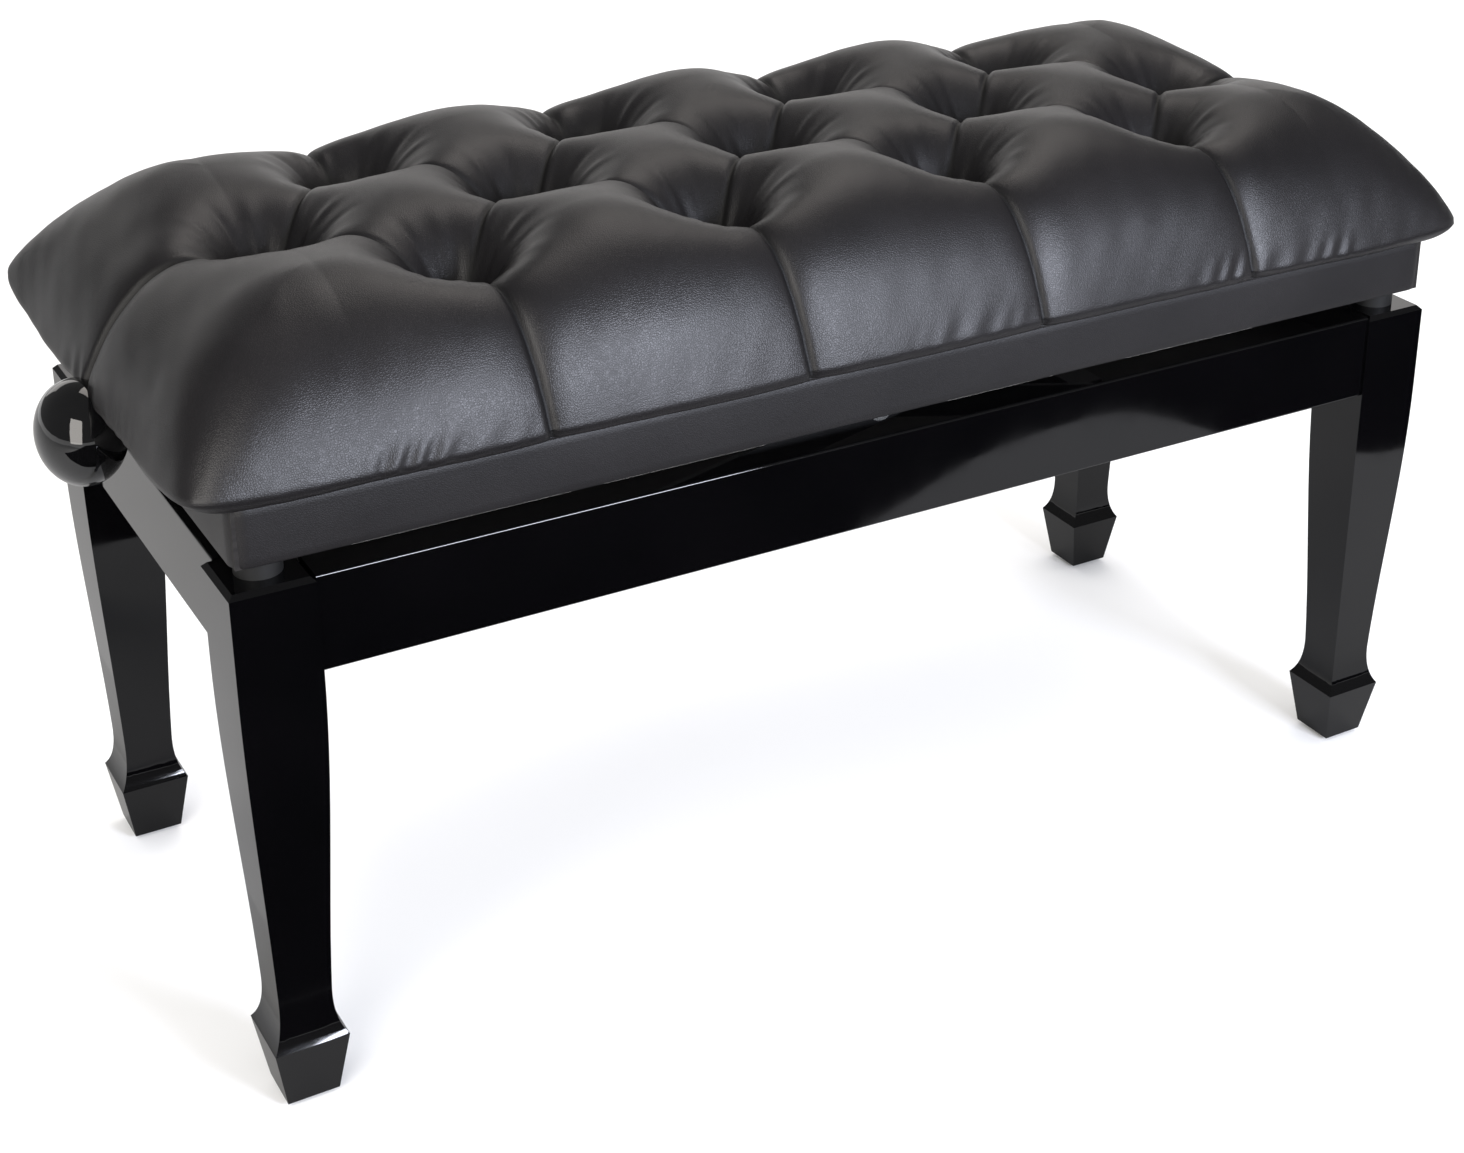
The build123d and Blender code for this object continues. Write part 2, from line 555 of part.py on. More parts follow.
def all_parts():
    parts = {}
    for name, sx, sy in CORNERS:
        parts[f"leg_{name}"] = leg(sx, sy)
    for name, sy in SIDES:
        parts[f"apron_{name}"] = long_apron(sy)
        parts[f"lower_rail_{name}"] = lower_rail(sy)
        parts[f"upper_rail_{name}"] = upper_rail(sy)
        parts[f"drive_arm_{name}"] = drive_arm(sy)
        parts[f"idler_arm_{name}"] = idler_arm(sy)
        parts[f"seat_rail_{name}"] = long_box_rail(sy)
    for name, sx in ENDS:
        parts[f"apron_{name}"] = end_apron(sx)
        parts[f"seat_rail_{name}"] = end_box_rail(sx)
        parts[f"knob_{name}"] = knob(sx)
    for name, make in (("corner_blocks", corner_block), ("corner_bolts", corner_bolt),
                       ("foot_glides", foot_glide), ("seat_bumpers", seat_bumper)):
        parts[name] = fused(make(sx, sy) for _, sx, sy in CORNERS)
    for name, make in (("arm_spacers", arm_spacer), ("retaining_rings", retaining_ring),
                       ("slide_bushes", slide_bush), ("upper_pivot_pins", upper_pivot_pin)):
        parts[name] = fused(make(sy) for _, sy in SIDES)
    for name, make in (("bearing_plates", bearing_plate), ("thrust_collars", thrust_collar),
                       ("knob_rosettes", rosette), ("knob_set_screws", set_screw)):
        parts[name] = fused(make(sx) for _, sx in ENDS)
    places = [(x, sy) for x in (-SCREW_AT, 0, SCREW_AT) for _, sy in SIDES]
    parts["lower_rail_screws"] = fused(
        wood_screw(x, sy, LONG_APRON_IN, LOWER_RAIL_THICK, lower_screw_z()) for x, sy in places)
    parts["upper_rail_screws"] = fused(
        wood_screw(x, sy, BOX_IN_Y, UPPER_RAIL_THICK, HIGH_PIVOT_Z) for x, sy in places)
    parts["bearing_plate_screws"] = fused(
        plate_screw(sx, y) for _, sx in ENDS for y in plate_screw_places())
    parts["lower_pivot_rod"] = rod_y(ROD / 2, -LONG_APRON_IN, LONG_APRON_IN, PIVOT_X, LOW_PIVOT_Z)
    parts["lower_slide_rod"] = rod_y(ROD / 2, -LONG_APRON_IN + 2 * END_PLAY, LONG_APRON_IN - 2 * END_PLAY,
                                     SLIDER_X, LOW_PIVOT_Z)
    parts["drive_cross_tube"] = drive_cross_tube()
    parts["centre_pivot_rod"] = centre_rod()
    parts["crosshead_bar"] = crosshead_bar()
    parts["lift_nut"] = lift_nut()
    parts["lift_screw"] = lift_screw()
    parts["seat_board"] = seat_board()
    parts["leather_band"] = leather_band()
    parts["seat_welt"] = welt()
    parts["foam_pad"] = foam_pad()
    parts["cushion_cover"] = cushion_cover()
    parts["cover_buttons"] = fused(cover_button(x, y) for x, y in pit_places())
    return parts


def main():
    os.makedirs("parts", exist_ok=True)
    for name, shape in all_parts().items():
        export_step(shape, f"parts/{name}.step")
        print(name)


main()
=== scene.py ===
import json
import math

import bpy
import numpy as np
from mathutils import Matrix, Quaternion, Vector


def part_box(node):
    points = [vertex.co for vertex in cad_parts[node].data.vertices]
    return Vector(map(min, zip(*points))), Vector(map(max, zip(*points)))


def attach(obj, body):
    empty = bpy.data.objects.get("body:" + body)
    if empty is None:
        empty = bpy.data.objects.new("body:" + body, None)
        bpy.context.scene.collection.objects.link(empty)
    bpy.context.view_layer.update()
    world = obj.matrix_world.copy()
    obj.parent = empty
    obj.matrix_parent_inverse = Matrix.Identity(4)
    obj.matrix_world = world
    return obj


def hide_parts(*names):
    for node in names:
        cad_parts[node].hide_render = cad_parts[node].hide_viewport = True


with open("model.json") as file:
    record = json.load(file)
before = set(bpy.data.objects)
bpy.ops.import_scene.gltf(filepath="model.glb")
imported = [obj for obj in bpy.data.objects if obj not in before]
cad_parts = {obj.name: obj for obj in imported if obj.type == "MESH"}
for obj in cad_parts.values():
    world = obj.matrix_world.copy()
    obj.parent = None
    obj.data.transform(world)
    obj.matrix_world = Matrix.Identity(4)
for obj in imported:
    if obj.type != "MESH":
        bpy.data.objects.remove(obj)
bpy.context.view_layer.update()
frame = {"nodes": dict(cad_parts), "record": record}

# ---- places taken from the frame, in metres ----
COVER_LOW, COVER_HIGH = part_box("cushion_cover")
BAND_LOW, BAND_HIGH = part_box("leather_band")
WELT_LOW, WELT_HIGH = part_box("seat_welt")
BUTTON_LOW, BUTTON_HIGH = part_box("cover_buttons")
SCREW_LOW, SCREW_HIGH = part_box("lift_screw")
SCREW_HEIGHT = (SCREW_LOW[2] + SCREW_HIGH[2]) / 2
KNOB_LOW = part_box("knob_left")[0]

# ---- cushion ----
BUTTON_DIAMETER = 0.019
PIT_PITCH = (BUTTON_HIGH[0] - BUTTON_LOW[0] - BUTTON_DIAMETER) / 4
PIT_ROW = (BUTTON_HIGH[1] - BUTTON_LOW[1] - BUTTON_DIAMETER) / 2
PIT_FLOOR = BUTTON_LOW[2] + 0.0025
PIT_FLAT = 0.0085           # round the button
PIT_SPREAD = 0.028          # how wide the pit's slopes are
SHOULDER = 0.100            # along Y, from the crest out to the widest line
END_SHOULDER = 0.111        # the same along X
EDGE_TURN = math.radians(69)  # how far the side turns before its lower edge rolls under
PROFILE_STEPS = 200         # points on each of the side's two curves
WIDEST_HEIGHT = WELT_HIGH[2] + 0.0045
SEAM_HEIGHT = WELT_HIGH[2] - 0.0020
SEAM_INSIDE = 0.0003        # the seam lies this far inside the band's face
WAIST = 0.003               # the long sides draw in this much between the corners
CORNER_LIFT = (0.005, 0.019)  # the front and back corner tips ride this much higher than the sides
CROWN = 0.0242              # the untufted crest stands this much over the CAD solid's top
CROWN_FALL = (0.0075, 0.005)  # and falls this much towards the ends, gently and then faster
GRID_STEP = 0.0014
SWELL = 0.0030              # the leather between the pleats stands out this much
PLEAT_WIDTH = 0.011
PLEAT_DEPTH = 0.0060
PLEAT_BLUNT = 0.0016        # rounds off the bottom of a pleat
PLEAT_LEAN = 0.014          # the front and back pleats drift this far along the bench on their way down
CREASE_WIDTH = 0.0022       # the fine line along a pleat
CREASE_DEPTH = 0.0030
LAP_HEIGHT = 0.0019         # one side of a pleat lies this much over the other
LAP_WIDTH = 0.010
PUCKER_HEIGHT = 0.0012
PUCKER_PITCH = 0.0185
PUCKER_DOWN = 0.85          # how far down the side the gathers sit, from crest to seam
# gathers along the front: where, half width, strength
PUCKERS = ((-0.335, 0.055, 0.60), (0.045, 0.030, 0.30), (0.27, 0.040, 0.55), (0.345, 0.020, 0.35))

# ---- band and welt ----
LEATHER_THICK = 0.002
BOX_CORNER = 0.009          # the radius that the band and welt turn at the box's corners
BORE_RADIUS = 0.009         # the hole in the band for the lift screw
BORE_HALF = 0.012
PIPING_RADIUS = 0.0017

# ---- leather ----
LEATHER_GRAIN = 760.0       # the scale of the pebbled grain's cells, per metre
COVER_DULLNESS = 0.375      # the lowest roughness
BAND_DULLNESS = 0.47

# ---- camera ----
CAMERA_TARGET = Vector((0.0375, 0.0, 0.3428))
CAMERA_DISTANCE = 1.674
CAMERA_AZIMUTH = -30.67
CAMERA_ELEVATION = 22.47
CAMERA_ROLL = 0.4
CAMERA_LENS = 58.4
CAMERA_SHIFT = (-0.0515, -0.16)

# ---- studio ----
SEAT_MIDDLE = (0.0, 0.0, 0.42)
MIRRORED_WORLD = 0.13       # the world's brightness in reflections, where the floor gets 1
# The next constants shape the painted shade of the floor that only reflections see.
DARK_START = -0.266         # the front edge of the mirrored floor at the bench's left end
DARK_STEP = 0.25            # and it reaches this much further forward at the right
PATCH_X = 0.60              # a tongue of mirrored floor reaches forward here
PATCH_REACH = 0.258
PATCH_RIGHT = 0.115         # how wide its right flank is
FLOOR_SPLIT = -0.47         # left of here the mirrored floor is paler
SHEET_HEIGHT = 0.0005       # the reflected sheets lie just over the floor
DARK_HEIGHT = 0.0008


# ---------------------------------------------------------------- mesh helpers
def mesh_piece(name, points, faces, body="seat"):
    """A smooth-shaded mesh object that rides on a body."""
    mesh = bpy.data.meshes.new(name)
    mesh.from_pydata([tuple(p) for p in points], [], [tuple(f) for f in faces])
    mesh.polygons.foreach_set("use_smooth", [True] * len(mesh.polygons))
    mesh.update()
    piece = bpy.data.objects.new(name, mesh)
    bpy.context.scene.collection.objects.link(piece)
    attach(piece, body)
    return piece


def grid_faces(rows, columns, wrap_rows=False, wrap_columns=False):
    """Quads of a rows-by-columns lattice of points, numbered row by row."""
    i = np.arange(rows if wrap_rows else rows - 1)
    j = np.arange(columns if wrap_columns else columns - 1)
    i, j = np.meshgrid(i, j, indexing="ij")
    down, right = (i + 1) % rows, (j + 1) % columns
    corners = [i * columns + j, down * columns + j, down * columns + right, i * columns + right]
    return np.stack([c.ravel() for c in corners], axis=1)


def rounded_outline(half_x, half_y, radius, step=0.006, arc_steps=10):
    """Points and outward normals round a rectangle with rounded corners, counter-clockwise."""
    points, normals = [], []
    for corner, (sx, sy) in enumerate(((1, 1), (-1, 1), (-1, -1), (1, -1))):
        centre = np.array([sx * (half_x - radius), sy * (half_y - radius)])
        for k in range(arc_steps + 1):
            angle = math.pi / 2 * (corner + k / arc_steps)
            normal = np.array([math.cos(angle), math.sin(angle)])
            points.append(centre + radius * normal)
            normals.append(normal)
        run = (half_x if corner % 2 == 0 else half_y) - radius
        count = max(2, int(2 * run / step))
        start, normal = points[-1], normals[-1]
        along = np.array([-normal[1], normal[0]])
        for k in range(1, count):
            points.append(start + along * 2 * run * k / count)
            normals.append(normal)
    return np.array(points), np.array(normals)


def wrap_profile(name, outline, normals, profile, wobble=None):
    """A closed ring: each profile point is an offset along the outline's normal and a height."""
    rows = []
    for offset, height in profile:
        grow = offset + (wobble(outline, height) if wobble else 0.0)
        ring = outline + normals * np.reshape(grow, (-1, 1))
        rows.append(np.column_stack([ring, np.full(len(ring), height)]))
    points = np.concatenate(rows)
    faces = grid_faces(len(profile), len(outline), wrap_rows=True, wrap_columns=True)
    return mesh_piece(name, points, faces[:, ::-1])


# ---------------------------------------------------------------- cushion
def pit_places():
    """The thirteen buttons: rows of four, five and four, the middle row half a pitch out of step."""
    places = []
    for row, count in ((-1, 4), (0, 5), (1, 4)):
        for i in range(count):
            places.append(((i - (count - 1) / 2) * PIT_PITCH, row * PIT_ROW))
    return np.array(places)


def side_profile():
    """The cover's side from crest to seam, evenly spaced.

    Gives its length, then at each fraction of it: how far out (0 to 1), how far tucked back under
    (0 to 1), and the height (1 at the crest, 0 at the widest line, -1 at the seam)."""
    turn = np.linspace(0, EDGE_TURN, PROFILE_STEPS)
    roll = np.linspace(0, math.pi / 2, PROFILE_STEPS)[1:]
    least = math.cos(EDGE_TURN)
    out = np.concatenate([np.sin(turn) / math.sin(EDGE_TURN), np.ones(len(roll))])
    tuck = np.concatenate([np.zeros(len(turn)), (1 - np.cos(roll)) ** 0.75])
    height = np.concatenate([(np.cos(turn) - least) / (1 - least), -np.sin(roll) ** 1.3])
    above, below = COVER_HIGH[2] - WIDEST_HEIGHT, WIDEST_HEIGHT - SEAM_HEIGHT
    rise = np.where(height > 0, height * above, height * below)
    steps = np.hypot(np.diff(out * SHOULDER - tuck * 0.02), np.diff(rise))
    length = np.concatenate([[0], np.cumsum(steps)])
    return length[-1], length / length[-1], out, tuck, height


def sheet_axis(half_flat, side_length):
    """One axis of the cover: the flat part, and how far down each side (-1 to 1)."""
    flat_count = int(2 * half_flat / GRID_STEP)
    side_count = int(side_length / GRID_STEP)
    flat = np.linspace(-half_flat, half_flat, flat_count + 1)
    down = np.arange(1, side_count + 1) / side_count
    core = np.concatenate([np.full(side_count, -half_flat), flat, np.full(side_count, half_flat)])
    excess = np.concatenate([-down[::-1], np.zeros(flat_count + 1), down])
    return core, excess


def segment_distance(p, q, start, end):
    """Distance from each sheet point to a segment, its signed side, and the place along it."""
    dx, dy = end[0] - start[0], end[1] - start[1]
    length = math.hypot(dx, dy)
    t = np.clip(((p - start[0]) * dx + (q - start[1]) * dy) / length ** 2, 0, 1)
    away_x, away_y = p - start[0] - t * dx, q - start[1] - t * dy
    side = (dx * away_y - dy * away_x) / length
    return np.hypot(away_x, away_y), side, t


def pleat_lines(pits, edge_x, edge_y):
    """Pleats between neighbouring buttons, and from the outer buttons to the seam.

    Each line is its two ends and whether it runs to the edge."""
    front, middle, back = pits[:4], pits[4:9], pits[9:]
    lines = []
    for i in range(4):
        for row in (front, back):
            lines.append((middle[i], row[i], False))
            lines.append((row[i], middle[i + 1], False))
        lines.append((front[i], (front[i][0] + PLEAT_LEAN, -edge_y), True))
        lines.append((back[i], (back[i][0] - PLEAT_LEAN, edge_y), True))
    lines.append((middle[0], (-edge_x, 0.0), True))
    lines.append((middle[4], (edge_x, 0.0), True))
    return lines


def soft_noise(p, q, scale, seed):
    """Smooth, repeatable unevenness between about -1 and 1."""
    total = np.zeros_like(p)
    generator = np.random.default_rng(seed)
    for _ in range(5):
        angle = generator.uniform(0, math.pi)
        stretch = scale * generator.uniform(0.6, 1.5)
        phase = generator.uniform(0, 2 * math.pi)
        total += np.sin((p * math.cos(angle) + q * math.sin(angle)) * 2 * math.pi / stretch + phase)
    return total / 3


def pleat_relief(p, q, lines):
    """How deep the pleats pull the leather in, and how strongly each point lies in a crease."""
    depth = np.zeros_like(p)
    lap = np.zeros_like(p)
    crease = np.zeros_like(p)
    for start, end, to_edge in lines:
        distance, side, t = segment_distance(p, q, start, end)
        ends = 1 - t if to_edge else np.abs(2 * t - 1)
        strength = PLEAT_DEPTH * (0.75 + 1.2 * ends ** 2)
        if to_edge:
            strength = strength * (1 - 0.55 * t ** 3) + 0.004 * ends ** 3
        eased = np.sqrt(distance ** 2 + PLEAT_BLUNT ** 2) - PLEAT_BLUNT
        line = np.exp(-(distance / CREASE_WIDTH) ** 2)
        groove = CREASE_DEPTH * line
        depth += (strength * np.exp(-eased / PLEAT_WIDTH) + groove) ** 4
        lap += LAP_HEIGHT * np.tanh(side / 0.0015) * np.exp(-distance / LAP_WIDTH) * (0.6 + 0.4 * ends)
        crease = np.maximum(crease, line)
    return depth ** 0.25, lap, crease


def pit_relief(p, q, pits):
    """The buttons' pull: a smooth funnel to each floor, with folds fanning out of it."""
    level = np.ones_like(p)
    folds = np.zeros_like(p)
    for index, (x, y) in enumerate(pits):
        away = np.hypot(p - x, q - y)
        angle = np.arctan2(q - y, p - x)
        level *= 1 - np.exp(-(np.maximum(away - PIT_FLAT, 0) / PIT_SPREAD) ** 1.15)
        wave = np.sin(9 * angle + 1.7 * index) + 0.7 * np.sin(15 * angle + 2.9 * index + 1.0)
        folds += 0.0012 * wave * np.exp(-((away - 0.023) / 0.010) ** 2)
        stray = np.sin(6 * angle + 3.1 * index + 0.6 * np.sin(3 * angle)) ** 5
        folds += 0.0019 * stray * np.exp(-((away - 0.037) / 0.014) ** 2)
    return 1 - level, folds


def seam_puckers(p, q, down_x, down_y):
    """Small slanting gathers just above the seam: where the front shows them, and a few elsewhere."""
    front = sum(size * np.exp(-((p - x) / half) ** 2) for x, half, size in PUCKERS)
    back = 0.8 * np.clip(soft_noise(p, p * 0, 0.30, 11), 0, 1)
    ends = 0.8 * np.clip(soft_noise(q, q * 0, 0.22, 12), 0, 1)
    total = np.zeros_like(p)
    for along, down, patch in ((p, -down_y, front), (p, down_y, back), (q, np.abs(down_x), ends)):
        slant = along + 0.09 * (down - PUCKER_DOWN)
        ridge = np.sin(slant * 2 * math.pi / PUCKER_PITCH + 1.6 * np.sin(slant * 2 * math.pi / 0.083))
        total += PUCKER_HEIGHT * patch * ridge * np.exp(-((down - PUCKER_DOWN) / 0.055) ** 2)
    near_corner = np.clip(np.minimum(np.abs(down_x), np.abs(down_y)) / 0.25, 0, 1)
    return total * (1 - near_corner)


def surface_normals(x, y, z):
    """Outward unit normals of a lattice of points."""
    du = np.stack(np.gradient(np.stack([x, y, z]), axis=1))
    dv = np.stack(np.gradient(np.stack([x, y, z]), axis=2))
    normal = np.cross(du, dv, axis=0)
    return normal / np.linalg.norm(normal, axis=0)


def cushion_surface():
    """The tufted cover from seam to seam, with how creased and how deep each point is."""
    side_length, fraction, out, tuck, height = side_profile()
    flat_x = COVER_HIGH[0] - END_SHOULDER
    flat_y = COVER_HIGH[1] - SHOULDER
    core_x, excess_x = sheet_axis(flat_x, side_length)
    core_y, excess_y = sheet_axis(flat_y, side_length)
    core_x, core_y = np.meshgrid(core_x, core_y, indexing="ij")
    excess_x, excess_y = np.meshgrid(excess_x, excess_y, indexing="ij")
    reach = np.maximum(np.abs(excess_x), np.abs(excess_y))
    power = 2.2 + 13.0 * reach ** 3
    norm = (np.abs(excess_x) ** power + np.abs(excess_y) ** power) ** (1 / power)
    norm = np.where(norm > 0, norm, 1.0)
    offset = np.interp(reach, fraction, out)
    under = np.interp(reach, fraction, tuck)
    factor = np.interp(reach, fraction, height)
    p = core_x + excess_x * side_length * END_SHOULDER / SHOULDER
    q = core_y + excess_y * side_length

    tuck_x = under * (COVER_HIGH[0] - BAND_HIGH[0] + SEAM_INSIDE)
    tuck_y = under * (COVER_HIGH[1] - BAND_HIGH[1] + SEAM_INSIDE)
    waist = WAIST * (1 - (core_x / flat_x) ** 4) * np.exp(-(factor / 0.6) ** 2) * (1 - under)
    x = core_x + (offset * END_SHOULDER - tuck_x) * excess_x / norm
    y = core_y + (offset * SHOULDER - tuck_y - waist) * excess_y / norm
    along = core_x / 0.34
    crest = COVER_HIGH[2] + CROWN - CROWN_FALL[0] * along ** 2 - CROWN_FALL[1] * along ** 6
    corner_x = np.clip(np.abs(x) / COVER_HIGH[0], 0, 1) ** 8
    corner = corner_x * np.clip(np.abs(y) / COVER_HIGH[1], 0, 1) ** 5
    widest = WIDEST_HEIGHT + np.where(y < 0, CORNER_LIFT[0], CORNER_LIFT[1]) * corner
    span = np.where(factor > 0, crest - widest, widest - SEAM_HEIGHT)
    z = widest + factor * span

    pits = pit_places()
    lines = pleat_lines(pits, p.max(), q.max())
    normal = surface_normals(x, y, z)
    depth, lap, crease = pleat_relief(p, q, lines)
    funnel, folds = pit_relief(p, q, pits)
    uneven = 0.0008 * soft_noise(p, q, 0.16, 3) + 0.00015 * soft_noise(p, q, 0.030, 4)
    puckers = seam_puckers(p, q, excess_x, excess_y)
    held = 1 - np.clip((reach - 0.84) / 0.16, 0, 1) ** 2
    push = (SWELL - depth - lap + uneven + folds + puckers) * held
    x, y, z = x + normal[0] * push, y + normal[1] * push, z + normal[2] * push
    z = z * (1 - funnel) + PIT_FLOOR * funnel
    return x, y, z, crease * held, funnel


def make_cushion():
    """The leather cover as one closed form: tufted top, turned-in seam and a flat base."""
    x, y, z, crease, funnel = cushion_surface()
    rows, columns = x.shape
    points = np.column_stack([x.ravel(), y.ravel(), z.ravel()])
    faces = [tuple(f) for f in grid_faces(rows, columns)]
    index = np.arange(rows * columns).reshape(rows, columns)
    rim = np.concatenate([index[:-1, 0], index[-1, :-1], index[:0:-1, -1], index[0, :0:-1]])
    base = points[rim] * np.array([0.985, 0.97, 1.0])
    base[:, 2] = SEAM_HEIGHT - 0.0001
    first = len(points)
    count = len(rim)
    points = np.concatenate([points, base])
    for k in range(count):
        after = (k + 1) % count
        faces.append((rim[k], first + k, first + after, rim[after]))
    faces.append(tuple(range(first + count - 1, first - 1, -1)))
    cushion = mesh_piece("cushion", points, faces)
    # The crease and pit numbers mark where the leather's colour is darkened as painted shade.
    store_attribute(cushion, "crease", np.concatenate([crease.ravel(), np.zeros(count)]))
    store_attribute(cushion, "pit", np.concatenate([funnel.ravel(), np.zeros(count)]))
    cushion.data.polygons[len(faces) - 1].use_smooth = False
    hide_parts("cushion_cover", "foam_pad")
    return cushion


def store_attribute(piece, name, values):
    """Keeps one number per point for the material to read."""
    layer = piece.data.attributes.new(name, "FLOAT", "POINT")
    layer.data.foreach_set("value", values.astype(np.float32))


# ---------------------------------------------------------------- band and welt
def band_wobble(outline, height):
    """The leather of the band lies a little unevenly between its top and bottom edges."""
    middle = math.sin(math.pi * (height - BAND_LOW[2]) / (WELT_LOW[2] - BAND_LOW[2] + 0.004))
    uneven = soft_noise(outline[:, 0], outline[:, 1], 0.19, 21)
    return (0.0005 + 0.00035 * uneven) * max(middle, 0.0)


def make_band():
    """The leather wrap round the seat box, rolled over at its lower edge."""
    wrap = BAND_HIGH[0] - LEATHER_THICK
    depth = BAND_HIGH[1] - LEATHER_THICK
    outline, normals = rounded_outline(wrap, depth, BOX_CORNER)
    low, high = BAND_LOW[2], WELT_LOW[2] + 0.0012
    profile = [(0.0001, low + 0.0003), (0.0009, low), (0.0016, low + 0.0005), (0.0020, low + 0.0018)]
    profile += [(0.0020, low + 0.0018 + (high - low - 0.0036) * k / 8) for k in range(1, 9)]
    profile += [(0.0014, high - 0.0006), (0.0001, high - 0.0002)]
    band = wrap_profile("seat_band", outline, normals, profile, band_wobble)
    for side in (-1, 1):
        bore_through(band, side * (wrap + LEATHER_THICK / 2))
    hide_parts("leather_band")
    return band


def bore_through(piece, x):
    """Cuts the round hole for the lift screw."""
    mesh = bpy.data.meshes.new("bore")
    turns = 48
    ring = [(math.cos(2 * math.pi * k / turns), math.sin(2 * math.pi * k / turns)) for k in range(turns)]
    points = [(x + end * BORE_HALF, BORE_RADIUS * a, SCREW_HEIGHT + BORE_RADIUS * b)
              for end in (-1, 1) for a, b in ring]
    faces = [(k, (k + 1) % turns, turns + (k + 1) % turns, turns + k) for k in range(turns)]
    faces += [tuple(range(turns - 1, -1, -1)), tuple(range(turns, 2 * turns))]
    mesh.from_pydata(points, [], faces)
    mesh.update()
    cutter = bpy.data.objects.new("bore", mesh)
    bpy.context.scene.collection.objects.link(cutter)
    cut = piece.modifiers.new("bore", "BOOLEAN")
    cut.operation, cut.solver, cut.object = "DIFFERENCE", "EXACT", cutter
    apply_modifiers(piece)
    bpy.data.objects.remove(cutter)
    bpy.data.meshes.remove(mesh)


def apply_modifiers(piece):
    """Turns a piece's modifiers into its own mesh."""
    bpy.context.view_layer.update()
    graph = bpy.context.evaluated_depsgraph_get()
    solid = bpy.data.meshes.new_from_object(piece.evaluated_get(graph))
    piece.modifiers.clear()
    piece.data = solid


def make_welt():
    """Thin leather piping in the joint between the band and the cushion."""
    turns = 10
    half_x, half_y = WELT_HIGH[0] - PIPING_RADIUS, WELT_HIGH[1] - PIPING_RADIUS
    outline, normals = rounded_outline(half_x, half_y, BOX_CORNER)
    middle = WELT_LOW[2] + 0.0022
    circle = [2 * math.pi * k / turns for k in range(turns)]
    profile = [(PIPING_RADIUS * math.cos(a), middle + PIPING_RADIUS * math.sin(a)) for a in circle]
    welt = wrap_profile("seat_piping", outline, normals, profile)
    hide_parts("seat_welt")
    return welt


# ---------------------------------------------------------------- materials
class Nodes:
    """Short calls for building one material's node tree."""

    def __init__(self, name):
        self.material = bpy.data.materials.new(name)
        self.material.use_nodes = True
        self.tree = self.material.node_tree
        self.shader = self.tree.nodes["Principled BSDF"]

    def add(self, kind, **settings):
        node = self.tree.nodes.new(kind)
        for key, value in settings.items():
            setattr(node, key, value)
        return node

    def link(self, source, target):
        self.tree.links.new(source, target)

    def place(self):
        return self.add("ShaderNodeTexCoord").outputs["Object"]

    def noise(self, scale, detail=3.0, rough=0.5, vector=None):
        node = self.add("ShaderNodeTexNoise")
        self.link(vector or self.place(), node.inputs["Vector"])
        node.inputs["Scale"].default_value = scale
        node.inputs["Detail"].default_value = detail
        node.inputs["Roughness"].default_value = rough
        return node.outputs["Fac"]

    def cells(self, scale):
        """Distance to the nearest edge between cells."""
        node = self.add("ShaderNodeTexVoronoi", feature="DISTANCE_TO_EDGE")
        self.link(self.place(), node.inputs["Vector"])
        node.inputs["Scale"].default_value = scale
        return node.outputs["Distance"]

    def attribute(self, name):
        return self.add("ShaderNodeAttribute", attribute_name=name).outputs["Fac"]

    def ramp(self, source, low, high, start=0.0, end=1.0):
        """Maps a value from start..end to low..high, held at both ends."""
        node = self.add("ShaderNodeMapRange")
        self.link(source, node.inputs["Value"])
        for key, value in (("From Min", start), ("From Max", end), ("To Min", low), ("To Max", high)):
            node.inputs[key].default_value = value
        return node.outputs["Result"]

    def colours(self, source, stops):
        node = self.add("ShaderNodeValToRGB")
        self.link(source, node.inputs["Fac"])
        ramp = node.color_ramp
        while len(ramp.elements) < len(stops):
            ramp.elements.new(0.5)
        for element, (where, colour) in zip(ramp.elements, stops):
            element.position = where
            element.color = (*colour, 1.0)
        return node.outputs["Color"]

    def mix(self, factor, first, second):
        node = self.add("ShaderNodeMix", data_type="RGBA")
        sockets = (node.inputs["Factor"], node.inputs[6], node.inputs[7])
        for socket, value in zip(sockets, (factor, first, second)):
            if isinstance(value, (int, float)):
                socket.default_value = value
            elif isinstance(value, tuple):
                socket.default_value = (*value, 1.0)
            else:
                self.link(value, socket)
        return node.outputs[2]

    def math(self, operation, first, second):
        node = self.add("ShaderNodeMath", operation=operation)
        for socket, value in zip(node.inputs, (first, second)):
            if isinstance(value, (int, float)):
                socket.default_value = value
            else:
                self.link(value, socket)
        return node.outputs[0]

    def bump(self, height, distance, strength=1.0, below=None):
        node = self.add("ShaderNodeBump")
        node.inputs["Distance"].default_value = distance
        node.inputs["Strength"].default_value = strength
        self.link(height, node.inputs["Height"])
        if below:
            self.link(below, node.inputs["Normal"])
        return node.outputs["Normal"]

    def finish(self, colour=None, roughness=None, normal=None, **fixed):
        """Fixed values go straight on the shader's sockets, and varying ones are linked."""
        for key, value in fixed.items():
            self.shader.inputs[key.replace("_", " ")].default_value = value
        for socket, value in (("Base Color", colour), ("Roughness", roughness), ("Normal", normal)):
            if value is not None:
                self.link(value, self.shader.inputs[socket])
        return self.material


def lacquer_material():
    """High-gloss black polyester: deep, nearly mirror-like, with the faintest waviness."""
    n = Nodes("gloss_black_lacquer")
    colour = n.colours(n.noise(9.0), [(0.3, (0.0009, 0.0009, 0.0011)), (0.7, (0.0015, 0.0014, 0.0017))])
    roughness = n.ramp(n.noise(26.0, 5.0), 0.035, 0.085, 0.35, 0.75)
    wave = n.bump(n.noise(38.0, 1.0), 0.00006, 0.35)
    return n.finish(colour, roughness, wave, IOR=1.5, Coat_Weight=0.08, Coat_Roughness=0.02)


